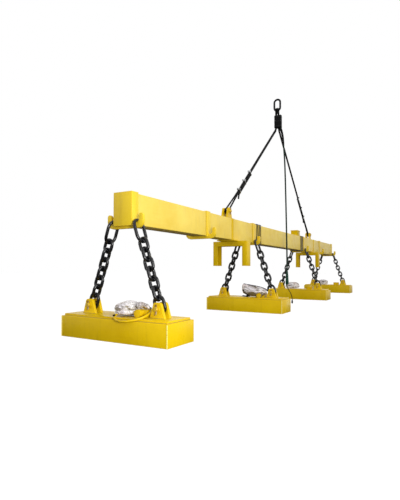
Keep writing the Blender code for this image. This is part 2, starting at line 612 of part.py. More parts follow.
def top_plate_mesh(guarded):
    """The cover plate with its two clevis lugs and terminal drum, and on one magnet the round-bar guard."""
    low = MAGNET_TOP + GAP
    high = low + TOP_PLATE_THICK
    plate = box((-TOP_PLATE_X / 2, TOP_PLATE_X / 2), (-TOP_PLATE_Y / 2, TOP_PLATE_Y / 2), (low, high))
    inner, outer = EAR_GAP / 2, EAR_GAP / 2 + EAR_THICK
    shapes = []
    for side in (-1, 1):
        ear = ear_outline(EAR_BASE, high - 0.002, PIN_Z, EAR_REACH, EAR_CORNER)
        outline = [(side * PIN_Y + a, z) for a, z in ear]
        shapes += [prism(outline, "X", inner, outer), prism(outline, "X", -outer, -inner)]
    plate = combined(plate, joined(shapes), "UNION")
    plate = combined(plate, box(TERMINAL_BOX_X, TERMINAL_BOX_Y, (high - 0.004, TERMINAL_BOX_TOP)), "UNION")
    drum_z = high + DRUM_RADIUS - 0.004
    plate = combined(plate, disc("X", (DRUM_Y, drum_z), DRUM_RADIUS, DRUM_FRONT, DRUM_BACK), "UNION")
    if guarded:
        plate = combined(plate, guard_ring(GUARD_BAR, 6), "UNION")
    holes = joined([disc("X", (side * PIN_Y, PIN_Z), PIN_RADIUS + GAP, -0.09, 0.09) for side in (-1, 1)])
    return combined(plate, holes, "DIFFERENCE")


def guard_ring(bar, sides):
    """The round bar bent into a ring, which leans back over the terminal box."""
    tilt = math.radians(GUARD_TILT)
    back = Vector((math.cos(tilt), 0.0, math.sin(tilt)))
    centre = Vector((GUARD_NEAR_X, GUARD_Y, GUARD_NEAR_Z)) + GUARD_RADIUS * back
    circle = arc((0, 0), GUARD_RADIUS, 180, 180 + 360 * 15 / 16, 15)
    return ring(circle, centre, back, Vector((0.0, 1.0, 0.0)), bar, sides)


def pack_mesh(middle, length, top, lean, guarded):
    """A coiled lead in its film wrap: a plain cushion, hollowed where the guard and the box are."""
    bm = bmesh.new()
    bmesh.ops.create_uvsphere(bm, u_segments=10, v_segments=6, radius=0.5)
    for vert in bm.verts:
        vert.co.xy *= 1 + PACK_FULLNESS * max(0.0, -2 * vert.co.z) ** 3
        vert.co.z += lean * vert.co.y * (vert.co.z + 0.5)
    bottom = MAGNET_TOP + GAP + TOP_PLATE_THICK + PACK_LIFT
    bmesh.ops.scale(bm, verts=bm.verts, vec=(PACK_WIDTH, length, top - bottom))
    bmesh.ops.translate(bm, verts=bm.verts, vec=(PACK_X, middle, (top + bottom) / 2))
    room = 0.002
    low = MAGNET_TOP
    drum_top = low + TOP_PLATE_THICK + 2 * DRUM_RADIUS
    box_room = box((TERMINAL_BOX_X[0] - room, TERMINAL_BOX_X[1] + room),
                   (TERMINAL_BOX_Y[0] - room, TERMINAL_BOX_Y[1] + room), (low, TERMINAL_BOX_TOP + room))
    drum_half = DRUM_RADIUS + room
    drum_y = (DRUM_Y - drum_half, DRUM_Y + drum_half)
    drum_room = box((DRUM_FRONT - room, DRUM_BACK), drum_y, (low, drum_top))
    pack = combined(mesh_from(bm), box_room, "DIFFERENCE")
    pack = combined(pack, drum_room, "DIFFERENCE")
    if guarded:
        pack = combined(pack, guard_ring(GUARD_BAR + 0.006, 4), "DIFFERENCE")
    return pack


clear_scene()
make_beam()
make_collars()
make_parking_frame("parking_frame_left", -1, FRAME_FACES[0])
make_parking_frame("parking_frame_right", 1, FRAME_FACES[1])
make_junction_box()
make_sling()
make_cable()
for magnet_number, magnet_x in enumerate(MAGNET_STATIONS, start=1):
    make_magnet(magnet_number, magnet_x)
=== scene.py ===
"""Looks of the electromagnet spreader beam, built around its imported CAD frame.

Metres, +Z up, +X along the beam, origin at the crane hook's seat. -Y is the side where the supply cable hangs.
"""

import math
import random

import bmesh
import bpy
from mathutils import Matrix, Vector, noise


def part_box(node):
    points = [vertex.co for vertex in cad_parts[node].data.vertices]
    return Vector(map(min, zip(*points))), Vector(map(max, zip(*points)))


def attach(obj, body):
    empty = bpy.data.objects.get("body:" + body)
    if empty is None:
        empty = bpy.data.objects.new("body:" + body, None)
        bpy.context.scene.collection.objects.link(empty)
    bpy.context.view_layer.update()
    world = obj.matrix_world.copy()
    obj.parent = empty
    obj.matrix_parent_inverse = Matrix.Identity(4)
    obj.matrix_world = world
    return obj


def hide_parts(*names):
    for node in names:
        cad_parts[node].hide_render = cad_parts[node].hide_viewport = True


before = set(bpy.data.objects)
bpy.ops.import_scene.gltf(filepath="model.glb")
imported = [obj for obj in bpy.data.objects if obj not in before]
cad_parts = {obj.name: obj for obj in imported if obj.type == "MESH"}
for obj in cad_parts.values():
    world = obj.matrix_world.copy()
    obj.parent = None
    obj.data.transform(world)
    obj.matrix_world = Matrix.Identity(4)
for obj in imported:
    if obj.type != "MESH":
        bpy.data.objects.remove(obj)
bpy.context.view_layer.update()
bpy.context.scene.view_settings.view_transform = "Standard"
noise.seed_set(5)  # unseeded, noise_vector gives other values on other runs, and so other film

# ---- sizes that the frame doesn't say: most are the CAD part's -----------------------------------
BEAM_Z = -2.698  # the beam's centre line
MAGNET_STATIONS = (-4.437, -1.479, 1.479, 4.437)
COLLAR_STATIONS = (-4.437, -2.990, -1.479, 1.479, 2.990, 4.437)
PIN_Y, PIN_Z, PIN_RADIUS = 0.410, -0.918 + BEAM_Z, 0.020
WIRE, LINK_PITCH, LINK_CROWN, REGULAR_LINKS = 0.016, 0.0930, 0.0415, 6
TOP_LINK_CROWN, END_LINK_CROWN, END_LINK_SHARE = 0.065, 0.050, 0.394
THROAT_Y, THROAT_Z, THROAT_RADIUS = 0.135, -0.098 + BEAM_Z, 0.034
SEAT_GAP, PIN_GAP = 0.004, 0.003
ROPE, ROPE_HALF_APART, LEG_SIDE, LEG_CLOSING = 0.013, 0.01375, 0.026, 0.4
LUG_X, LUG_PIN_Z, APEX_Z, LINK_Z = 2.247, 0.262, 2.130, 2.500
MASTER_WIRE, MASTER_WIDTH, MASTER_LENGTH = 0.018, 0.080, 0.180
BEND_BELOW, BEND_ABOVE, PIN_ROOM, LINK_ROOM, SLEEVE_TOP = 0.090, 0.045, 0.001, 0.009, 2.400
CLIP_PLACES, TAIL_OFFSET = (0.588, 0.861, 1.156), -0.043
CABLE, LEAD, CABLE_Y = 0.014, 0.007, -0.0565
BEAM_SECTION = ((-0.1, -0.15), (0.1, -0.15), (0.1, 0.15), (-0.1, 0.15))
PLATE_TOP = -1.0007 + BEAM_Z
TERMINAL_BOX_X, TERMINAL_BOX_Y, TERMINAL_BOX_TOP = (-0.045, 0.095), (-0.290, -0.160), -0.935 + BEAM_Z
DRUM_Y, DRUM_Z, DRUM_RADIUS, DRUM_FRONT, DRUM_BACK = -0.222, PLATE_TOP + 0.034, 0.038, -0.100, -0.020
GUARD_Y, GUARD_RADIUS, GUARD_TILT, GUARD_NEAR_X, GUARD_NEAR_Z = -0.163, 0.167, 17.0, -0.248, -1.021 + BEAM_Z
PACK_LEANS, PACK_FULLNESS = (0.0, 0.30, 0.0, 0.0), 1.17
FIRST_PACK_SHARE = 0.70  # how much of its -Y half the first pack keeps, short of the drum
IN_CONNECTOR = 0.120  # how far the supply cable runs inside its connector
WELD_STEP, ROPE_STEP, LAY_STEPS = 0.006, 0.007, 23  # spacing along welds and ropes, and steps in one lay
LASHING_TURNS, LASHING_PITCH, LASHING_STRAND, LASHING_LIFT = 4, 0.058, 0.0065, 0.007
WING = (  # the second pack, a flat bag that stands on edge: Y, top and foot, from the +Y end
    (0.082, -0.806, -0.905), (0.055, -0.799, -0.950), (-0.041, -0.813, -0.985), (-0.157, -0.830, -0.990),
    (-0.250, -0.850, -0.985), (-0.318, -0.876, -0.940),
)
WING_HALF_X = 0.100
CABLE_ROUTE = (
    (0.0, CABLE_Y, 2.300), (0.0, CABLE_Y, 2.230), (0.0, -0.059, 2.165), (0.0, -0.074, 2.115),
    (0.0, -0.092, 2.050), (0.0, -0.108, 1.970), (0.0, -0.118, 1.870), (0.0, -0.127, 1.740),
    (0.0, -0.142, 1.500),
    (0.0, -0.152, 1.200), (0.0, -0.160, 0.850), (0.0, -0.167, 0.500), (0.0, -0.173, 0.150),
    (0.0, -0.178, -0.150), (0.0, -0.180, -0.400), (0.0, -0.180, -0.600),
)
LEAD_ROUTE = (
    (0.0, -0.180, -0.8505), (0.0, -0.180, -0.875), (0.0, -0.187, -0.905), (0.0, -0.200, -0.935),
    (0.0, -0.218, -0.965), (0.0, -0.236, -0.995), (0.0, -0.252, -1.025), (0.0, -0.264, -1.055),
    (0.0, -0.272, -1.085), (0.0, -0.276, -1.115), (0.0, -0.276, -1.140),
)
X_AXIS, Y_AXIS, Z_AXIS = Vector((1, 0, 0)), Vector((0, 1, 0)), Vector((0, 0, 1))


# ---- camera, floor and light --------------------------------------------------------------------
def make_camera():
    data = bpy.data.cameras.new("camera")
    data.lens = 28.372
    data.sensor_width = 36.0
    data.shift_x, data.shift_y = 0.01644, 0.0156
    data.clip_end = 200.0
    camera = bpy.data.objects.new("camera", data)
    bpy.context.collection.objects.link(camera)
    heading, pitch, roll = math.radians(30.81 - 90), math.radians(90 + 1.611), math.radians(0.166)
    turn = Matrix.Rotation(heading, 4, "Z") @ Matrix.Rotation(pitch, 4, "X") @ Matrix.Rotation(roll, 4, "Z")
    camera.matrix_world = Matrix.Translation((-7.3188, -2.4486, -0.5632 + BEAM_Z)) @ turn
    bpy.context.scene.camera = camera


def make_light(name, energy, size, place, target):
    data = bpy.data.lights.new(name, "AREA")
    data.energy = energy
    data.size = size
    light = bpy.data.objects.new(name, data)
    light.location = place
    light.rotation_euler = (Vector(target) - Vector(place)).to_track_quat("-Z", "Y").to_euler()
    bpy.context.collection.objects.link(light)


def make_studio():
    """A wide pale floor far below the hanging rig, soft light from the near side, and a sky that is white above
    the horizon and nearly black under it, where it shades the undersides. The floor lights nothing."""
    world = bpy.data.worlds.new("studio")
    world.use_nodes = True
    bpy.context.scene.world = world
    tree = Nodes(world.node_tree)
    place = tree.node("ShaderNodeTexCoord")
    split = tree.node("ShaderNodeSeparateXYZ", Vector=place.outputs["Generated"])
    sky = ((0.0, (0.04, 0.04, 0.045)), (0.445, (0.07, 0.07, 0.07)), (0.470, (1, 1, 1)))
    height = tree.ramp(split.outputs["Z"], sky, span=(-1, 1))
    shade = tree.ramp(split.outputs["X"], ((0.10, 0.80), (0.50, 1.0)), span=(-1, 1))
    background = world.node_tree.nodes["Background"]
    tree.link(tree.mix(shade, (0.0, 0.0, 0.0), height), background.inputs["Color"])
    bpy.ops.mesh.primitive_plane_add(size=900.0, location=(0.0, 0.0, -5.6))
    floor = bpy.context.object
    floor.name = "floor"
    floor.data.materials.append(plain_finish("floor_white", (0.98, 0.98, 0.98), 0.9, 0.10))
    floor.visible_diffuse = False
    floor.visible_glossy = False
    make_light("window", 330.0, 4.0, (-5.0, -9.0, 0.5), (-1.0, 0.0, -3.2))
    make_light("fill", 145.0, 1.2, (-6.9, -3.7, -3.1), (-4.4, 0.0, -3.3))


# ---- materials ----------------------------------------------------------------------------------
class Nodes:
    """A short way to build a node tree: a value is a number, a colour or another node's output."""

    def __init__(self, tree):
        self.tree = tree

    def link(self, source, target):
        self.tree.links.new(source, target)

    def node(self, kind, settings=None, **values):
        made = self.tree.nodes.new(kind)
        for key, value in (settings or {}).items():
            setattr(made, key, value)
        for key, value in values.items():
            numbered = key[0] == "i" and key[1:].isdigit()
            self.feed(made.inputs[int(key[1:]) if numbered else key.replace("_", " ")], value)
        return made

    def feed(self, socket, value):
        if isinstance(value, bpy.types.NodeSocket):
            self.link(value, socket)
        elif isinstance(value, tuple) and len(value) == 3 and socket.type == "RGBA":
            socket.default_value = (*value, 1.0)
        else:
            socket.default_value = value

    def noise(self, place, scale, detail=4.0, roughness=0.55, distortion=0.0):
        made = self.node("ShaderNodeTexNoise", Vector=place, Scale=scale, Detail=detail,
                         Roughness=roughness, Distortion=distortion)
        return made.outputs["Fac"]

    def stretched(self, place, scale):
        return self.node("ShaderNodeMapping", Vector=place, Scale=scale).outputs["Vector"]

    def ramp(self, value, stops, span=(0, 1)):
        """Colours or greys over a value; span is the value's own range."""
        low, high = float(span[0]), float(span[1])
        scaled = self.node("ShaderNodeMapRange", Value=value, From_Min=low, From_Max=high).outputs["Result"]
        made = self.node("ShaderNodeValToRGB", Fac=scaled)
        elements = made.color_ramp.elements
        while len(elements) < len(stops):
            elements.new(0.5)
        for element, (at, colour) in zip(elements, stops):
            element.position = at
            element.color = (*colour, 1.0) if isinstance(colour, tuple) else (colour, colour, colour, 1.0)
        return made.outputs["Color"]

    def mix(self, share, first, second):
        made = self.node("ShaderNodeMix", {"data_type": "RGBA"})
        self.feed(made.inputs["Factor"], share)
        self.feed(made.inputs[6], first)
        self.feed(made.inputs[7], second)
        return made.outputs[2]

    def maths(self, operation, first, second):
        return self.node("ShaderNodeMath", {"operation": operation}, i0=first, i1=second).outputs[0]

    def bump(self, height, strength, distance):
        made = self.node("ShaderNodeBump", Height=height, Strength=strength, Distance=distance)
        return made.outputs["Normal"]


def start_material(name):
    made = bpy.data.materials.new(name)
    made.use_nodes = True
    tree = Nodes(made.node_tree)
    shader = made.node_tree.nodes["Principled BSDF"]
    place = tree.node("ShaderNodeTexCoord").outputs["Object"]
    return made, tree, shader, place


def plain_finish(name, colour, roughness, glow=0.0):
    made, tree, shader, _ = start_material(name)
    tree.feed(shader.inputs["Emission Color"], colour)
    shader.inputs["Emission Strength"].default_value = glow
    tree.feed(shader.inputs["Base Color"], colour)
    shader.inputs["Roughness"].default_value = roughness
    return made


def paint(name, deep, light, dirt, wear=0.5, roughness=0.38, gloss=0.5):
    """Brushed enamel over welded steel: cloudy colour, run-down grime, fine orange peel and small chips."""
    made, tree, shader, place = start_material(name)
    shader.inputs["Specular IOR Level"].default_value = gloss
    clouds = tree.noise(place, 1.7, 5.0, 0.6)
    colour = tree.mix(tree.ramp(clouds, ((0.34, 0.0), (0.66, 1.0))), deep, light)
    brushed = tree.noise(tree.stretched(place, (6.0, 6.0, 60.0)), 1.0, 3.0)
    colour = tree.mix(tree.ramp(brushed, ((0.45, 0.0), (0.85, 0.35))), colour, light)
    runs = tree.noise(tree.stretched(place, (22.0, 22.0, 2.2)), 1.0, 5.0, 0.7)
    colour = tree.mix(tree.ramp(runs, ((0.55, 0.0), (0.80, 0.42))), colour, dirt)
    chips = tree.noise(place, 38.0, 6.0, 0.75)
    chipped = tree.ramp(chips, ((0.70 - 0.05 * wear, 0.0), (0.73 - 0.05 * wear, 1.0)))
    colour = tree.mix(chipped, colour, (0.09, 0.055, 0.03))
    tree.feed(shader.inputs["Base Color"], colour)
    rough = tree.ramp(tree.noise(place, 9.0, 4.0), ((0.3, roughness - 0.08), (0.7, roughness + 0.14)))
    tree.feed(shader.inputs["Roughness"], tree.maths("MAXIMUM", rough, tree.maths("MULTIPLY", chipped, 0.8)))
    peel = tree.noise(place, 160.0, 3.0)
    waves = tree.maths("MULTIPLY", tree.noise(place, 14.0, 4.0), 1.6)
    tree.feed(shader.inputs["Normal"], tree.bump(tree.maths("ADD", peel, waves), 0.35, 0.0012))
    return made


def steel(name, dark, bright, roughness, metallic, shine_from=0.52, scale=30.0):
    """Bare or lacquered steel with rubbed places."""
    made, tree, shader, place = start_material(name)
    rubbed = tree.ramp(tree.noise(place, scale, 5.0, 0.65), ((shine_from, 0.0), (shine_from + 0.16, 1.0)))
    tree.feed(shader.inputs["Base Color"], tree.mix(rubbed, dark, bright))
    spread = ((0.3, roughness - 0.08), (0.7, roughness + 0.12))
    tree.feed(shader.inputs["Roughness"], tree.ramp(tree.noise(place, scale * 2, 3.0), spread))
    shader.inputs["Metallic"].default_value = metallic
    shader.inputs["Specular IOR Level"].default_value = 0.5 if metallic else 0.16
    tree.feed(shader.inputs["Normal"], tree.bump(tree.noise(place, scale * 6, 3.0), 0.25, 0.0006))
    return made


def chain_finish():
    """Glossy black lacquer, duller where dust lies."""
    made, tree, shader, place = start_material("chain_lacquer")
    dust = tree.ramp(tree.noise(place, 30.0, 5.0, 0.65), ((0.56, 0.0), (0.72, 1.0)))
    tree.feed(shader.inputs["Base Color"], tree.mix(dust, (0.004, 0.004, 0.005), (0.016, 0.016, 0.020)))
    tree.feed(shader.inputs["Roughness"], tree.ramp(tree.noise(place, 60.0, 3.0), ((0.3, 0.16), (0.7, 0.34))))
    shader.inputs["Specular IOR Level"].default_value = 0.5
    tree.feed(shader.inputs["Normal"], tree.bump(tree.noise(place, 180.0, 3.0), 0.25, 0.0006))
    return made


def rubber(name, colour, light, roughness=0.5):
    made, tree, shader, place = start_material(name)
    dust = tree.ramp(tree.noise(tree.stretched(place, (60.0, 60.0, 9.0)), 1.0, 4.0), ((0.45, 0.0), (0.8, 0.5)))
    tree.feed(shader.inputs["Base Color"], tree.mix(dust, colour, light))
    shader.inputs["Roughness"].default_value = roughness
    shader.inputs["Specular IOR Level"].default_value = 0.12
    tree.feed(shader.inputs["Normal"], tree.bump(tree.noise(place, 220.0, 2.0), 0.25, 0.0006))
    return made


def film_finish():
    """Stretch film over a dark lead: milky and glossy on the folds, see-through and darkened in the hollows,
    where the colour is partly the lead below and partly painted shade.
    """
    made, tree, shader, place = start_material("film")
    depth = tree.node("ShaderNodeAttribute", {"attribute_name": "fold_shade"}).outputs["Fac"]
    tint = tree.mix(tree.noise(place, 11.0, 3.0), (0.80, 0.70, 0.84), (0.92, 0.94, 0.88))
    blush = tree.ramp(tree.noise(place, 7.0, 2.0), ((0.50, 0.0), (0.66, 0.5)))
    tint = tree.mix(blush, tint, (0.90, 0.66, 0.58))
    hollow_shade = tree.mix(tree.noise(place, 9.0, 2.0), (0.07, 0.06, 0.05), (0.25, 0.19, 0.09))
    # Painted shade: where the fold value is low, in the hollows and creases, the film takes the dark hollow
    # colour.
    colour = tree.mix(tree.ramp(depth, ((0.25, 0.0), (0.42, 0.45), (0.60, 1.0))), hollow_shade, tint)
    tree.feed(shader.inputs["Base Color"], colour)
    tree.feed(shader.inputs["Roughness"], tree.ramp(tree.noise(place, 26.0, 3.0), ((0.3, 0.08), (0.7, 0.28))))
    shader.inputs["Coat Weight"].default_value = 0.6
    shader.inputs["Coat Roughness"].default_value = 0.06
    folds = tree.noise(place, 21.0, 5.0, 0.6, 1.5)
    drawn = tree.noise(tree.stretched(place, (18.0, 52.0, 36.0)), 1.0, 3.0, 0.6, 2.0)
    tree.feed(shader.inputs["Normal"], tree.bump(tree.maths("ADD", folds, drawn), 0.8, 0.010))
    return made


BEAM_PAINT = paint("beam_paint", (0.70, 0.49, 0.045), (0.80, 0.61, 0.10), (0.44, 0.34, 0.10), 0.5, 0.42)
YELLOW = paint("magnet_paint", (0.59, 0.38, 0.002), (0.70, 0.475, 0.004),
               (0.39, 0.245, 0.003), 0.3, 0.30, 0.12)
COLLAR_PAINT = paint("collar_paint", (0.72, 0.48, 0.008), (0.83, 0.60, 0.020),
                     (0.44, 0.29, 0.02), 0.5, 0.38, 0.4)
# Dark brown paint for the weld beads at joints: painted shade, for the shadow in the step between collar and
# beam and between other joined parts.
SEAM_SHADE = paint("seam_painted_shade", (0.30, 0.20, 0.02), (0.42, 0.30, 0.03), (0.14, 0.09, 0.02), 0.5, 0.45, 0.3)
# Pale paint for the magnets' corner beads, lighter than the magnet paint: a painted highlight along the rounded
# corners.
WELD_HIGHLIGHT = paint("weld_paint", (0.80, 0.62, 0.10), (0.90, 0.76, 0.24), (0.40, 0.28, 0.05), 0.5, 0.40)
CHAIN = chain_finish()
MASTER = steel("master_link_steel", (0.006, 0.006, 0.007), (0.03, 0.03, 0.03), 0.32, 0.0, 0.55)
PIN_STEEL = steel("pin_steel", (0.62, 0.42, 0.03), (0.30, 0.22, 0.12), 0.38, 0.35, 0.56)
RUST = steel("rusty_steel", (0.20, 0.07, 0.03), (0.30, 0.13, 0.06), 0.60, 0.2, 0.5)
DULL_STEEL = steel("dull_steel", (0.30, 0.29, 0.26), (0.46, 0.45, 0.42), 0.55, 0.3, 0.45)
ZINC = steel("zinc", (0.42, 0.43, 0.44), (0.70, 0.71, 0.72), 0.36, 0.85, 0.42)
ROPE_STEEL = steel("rope_steel", (0.003, 0.003, 0.003), (0.012, 0.012, 0.012), 0.5, 0.0, 0.55, 60.0)
STAINLESS = steel("stainless", (0.36, 0.36, 0.36), (0.60, 0.60, 0.60), 0.34, 0.9, 0.45)
COPPER = steel("copper", (0.40, 0.17, 0.07), (0.62, 0.30, 0.15), 0.40, 0.8, 0.5)
SLEEVE = rubber("sleeve_rubber", (0.003, 0.003, 0.003), (0.010, 0.010, 0.010), 0.6)
CABLE_SHEATH = rubber("cable_sheath", (0.006, 0.020, 0.012), (0.02, 0.045, 0.03), 0.45)
CONNECTOR_GREEN = rubber("connector_green", (0.008, 0.045, 0.028), (0.03, 0.08, 0.05), 0.40)
LEAD_SHEATH = rubber("lead_sheath", (0.035, 0.028, 0.050), (0.09, 0.075, 0.12), 0.5)
LASHING = rubber("lashing", (0.07, 0.07, 0.06), (0.20, 0.19, 0.16), 0.7)
PALE_LASHING = rubber("pale_lashing", (0.20, 0.18, 0.12), (0.36, 0.33, 0.24), 0.7)
FILM = film_finish()


# ---- shape helpers --------------------------------------------------------------------------------
def piece(name, mesh, finish, body, stands_for=()):
    """A finished mesh as a piece that rides on a CAD body."""
    mesh.materials.clear()
    mesh.materials.append(finish)
    mesh.shade_smooth()
    mesh.set_sharp_from_angle(angle=math.radians(38))
    made = bpy.data.objects.new(name, mesh)
    bpy.context.collection.objects.link(made)
    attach(made, body)
    if stands_for:
        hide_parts(*stands_for)
    return made


def mesh_of(bm):
    bmesh.ops.recalc_face_normals(bm, faces=bm.faces)
    mesh = bpy.data.meshes.new("shape")
    bm.to_mesh(mesh)
    bm.free()
    return mesh


def full_turn(sides):
    return [2 * math.pi * k / sides for k in range(sides)]


def ring(radius, sides):
    return [(radius * math.cos(t), radius * math.sin(t)) for t in full_turn(sides)]


def round_section(radius, sides=12):
    return lambda i: ring(radius, sides)


def sweep(bm, path, normal, section, closed=False):
    """A tube along a path that keeps to one plane: section(i) is its outline at point i, as (side, normal)."""
    rows = []
    count = len(path)
    for i, point in enumerate(path):
        before = path[i - 1] if closed or i else point
        after = path[(i + 1) % count] if closed or i + 1 < count else point
        tangent = (after - before).normalized()
        side = normal.cross(tangent).normalized()
        up = tangent.cross(side)
        rows.append([bm.verts.new(point + a * side + b * up) for a, b in section(i)])
    size = len(rows[0])
    for i in range(count if closed else count - 1):
        here, following = rows[i], rows[(i + 1) % count]
        for k in range(size):
            bm.faces.new((here[k], here[(k + 1) % size], following[(k + 1) % size], following[k]))
    if not closed:
        bm.faces.new(rows[0])
        bm.faces.new(rows[-1])


def turned(bm, sections, base, axis, sides=24):
    """A round body from (radius, height) sections along an axis from its base."""
    side = axis.orthogonal().normalized()
    up = axis.cross(side)
    rows = []
    for radius, height in sections:
        centre = base + height * axis
        ways = [math.cos(t) * side + math.sin(t) * up for t in full_turn(sides)]
        rows.append([bm.verts.new(centre + radius * way) for way in ways])
    for lower, upper in zip(rows, rows[1:]):
        for k in range(sides):
            bm.faces.new((lower[k], lower[(k + 1) % sides], upper[(k + 1) % sides], upper[k]))
    bm.faces.new(rows[0])
    bm.faces.new(rows[-1])


def even_curve(points, spacing, closed=False):
    """Evenly spaced points of the Catmull-Rom curve through a route."""
    knots = [Vector(p) for p in points]
    if closed:
        knots = [knots[-1], *knots, knots[0], knots[1]]
    else:
        knots = [2 * knots[0] - knots[1], *knots, 2 * knots[-1] - knots[-2]]
    fine = []
    for a, b, c, d in zip(knots, knots[1:], knots[2:], knots[3:]):
        steps = max(2, math.ceil((c - b).length / spacing))
        for i in range(steps):
            t = i / steps
            square, cube = 2 * a - 5 * b + 4 * c - d, 3 * b - a - 3 * c + d
            fine.append(0.5 * (2 * b + (c - a) * t + square * t**2 + cube * t**3))
    return fine if closed else fine + [knots[-2]]


def weld(name, path, radius, body, closed=False, normal=Z_AXIS, finish=None):
    """A weld bead along a path: a rippled fillet."""
    points = even_curve(path, WELD_STEP, closed) if len(path) > 2 else straight(*path, WELD_STEP)
    draw = random.Random(name)
    sizes = [radius * (0.85 + 0.16 * math.sin(i * 1.9) + 0.12 * draw.random()) for i in range(len(points))]
    bm = bmesh.new()
    sweep(bm, points, normal, lambda i: ring(sizes[i], 6), closed)
    # Beads without a finish of their own take the dark seam paint, a painted shade along the joint.
    piece(name, mesh_of(bm), finish or SEAM_SHADE, body)


def weld_round(name, corners, radius, body, normal=Z_AXIS):
    """Four straight beads round a rectangle."""
    for i in range(4):
        weld(f"{name}{i + 1}", [corners[i], corners[(i + 1) % 4]], radius, body, normal=normal)


def straight(start, end, spacing):
    count = max(2, math.ceil((end - start).length / spacing))
    return [start.lerp(end, i / count) for i in range(count + 1)]


def softened(name, node, finish, body, width, segments=2):
    """A copy of a CAD node with its sharp edges rounded, which stands for it."""
    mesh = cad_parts[node].data.copy()
    bm = bmesh.new()
    bm.from_mesh(mesh)
    bmesh.ops.remove_doubles(bm, verts=bm.verts, dist=1e-5)
    bmesh.ops.dissolve_limit(bm, angle_limit=math.radians(2), verts=bm.verts, edges=bm.edges)
    bm.to_mesh(mesh)
    bm.free()
    made = bpy.data.objects.new("rounding", mesh)
    bpy.context.collection.objects.link(made)
    bevel = made.modifiers.new("edges", "BEVEL")
    bevel.width = width
    bevel.segments = segments
    bevel.limit_method = "ANGLE"
    bevel.angle_limit = math.radians(50)
    bpy.context.view_layer.update()
    rounded = bpy.data.meshes.new_from_object(made.evaluated_get(bpy.context.evaluated_depsgraph_get()))
    bpy.data.objects.remove(made)
    return piece(name, rounded, finish, body, (node,))


# ---- cords ----------------------------------------------------------------------------------------
def down(points):
    return [Vector((x, y, z + BEAM_Z)) for x, y, z in points]


def make_cords():
    """The supply cable with its connector, and the thin lead with its plug."""
    cable = even_curve(down(CABLE_ROUTE), 0.020)
    cable += straight(cable[-1], cable[-1] - IN_CONNECTOR * Z_AXIS, 0.020)[1:]
    bm = bmesh.new()
    sweep(bm, cable, X_AXIS, round_section(CABLE, 16))
    cable_piece = piece("supply_cable_sheath", mesh_of(bm), CABLE_SHEATH, "spreader",
                        ("supply_cable",))
    bm = bmesh.new()
    low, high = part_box("cable_connector")
    reach = high.z - low.z
    ribs = [(0.0155, 0.0), (0.0165, 0.004)]
    for i in range(7):
        wider, lower = 0.0012 * i, 0.012 * i
        ribs += [(0.0165 + wider, 0.012 + lower), (0.0185 + wider, 0.014 + lower)]
        ribs += [(0.0185 + wider, 0.020 + lower)]
    ribs += [(0.025, 0.105), (0.0275, 0.150), (0.0295, 0.185), (0.0305, 0.190), (0.0305, 0.203)]
    ribs += [(0.0290, 0.205), (0.0290, 0.238), (0.0270, 0.246), (0.0080, 0.247), (0.0080, reach)]
    turned(bm, ribs, Vector((0.0, CABLE_ROUTE[-1][1], high.z)), -Z_AXIS)
    connector = piece("connector_body", mesh_of(bm), CONNECTOR_GREEN, "spreader",
                      ("cable_connector",))
    bm = bmesh.new()
    sock = [p for p in cable if 1.800 < p.z - BEAM_Z < 2.150]
    last = len(sock) - 1
    sweep(bm, sock, X_AXIS, lambda i: ring(0.0235 - 0.0085 * i / last, 14))
    piece("cable_support_sock", mesh_of(bm), SLEEVE, "spreader")
    lead = even_curve(down(LEAD_ROUTE), 0.008)
    bm = bmesh.new()
    sweep(bm, lead, X_AXIS, round_section(LEAD, 12))
    lead_piece = piece("pigtail_sheath", mesh_of(bm), SLEEVE, "spreader", ("pigtail",))
    bm = bmesh.new()
    body = ((0.0075, 0.0), (0.0105, 0.004), (0.0115, 0.014), (0.0140, 0.018), (0.0145, 0.024), (0.0145, 0.050),
            (0.0125, 0.060), (0.0060, 0.0645))
    turned(bm, body, Vector((0.0, LEAD_ROUTE[-1][1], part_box("pigtail_plug")[1].z)), -Z_AXIS)
    plug = piece("pigtail_plug_body", mesh_of(bm), SLEEVE, "spreader", ("pigtail_plug",))


# ---- sling ----------------------------------------------------------------------------------------
def leg_axis(side):
    """The rope leg's middle line: up the slope from the lug pin, then bent upright to the master link."""
    foot = Vector((side * LUG_X, 0.0, LUG_PIN_Z))
    apex = Vector((0.0, 0.0, APEX_Z))
    slope = (apex - foot).normalized()
    before, above = apex - BEND_BELOW * slope, apex + Vector((0.0, 0.0, BEND_ABOVE))
    bend = [before.lerp(apex, t).lerp(apex.lerp(above, t), t) for t in (0.0, 0.2, 0.4, 0.6, 0.8, 1.0)]
    run = [foot + slope * s for s in (0.15, 0.30, 0.45, 0.60, 1.0, 1.5, 2.1)]
    return foot, slope, run + bend + [Vector((0.0, 0.0, z)) for z in (2.28, 2.38, 2.44)]


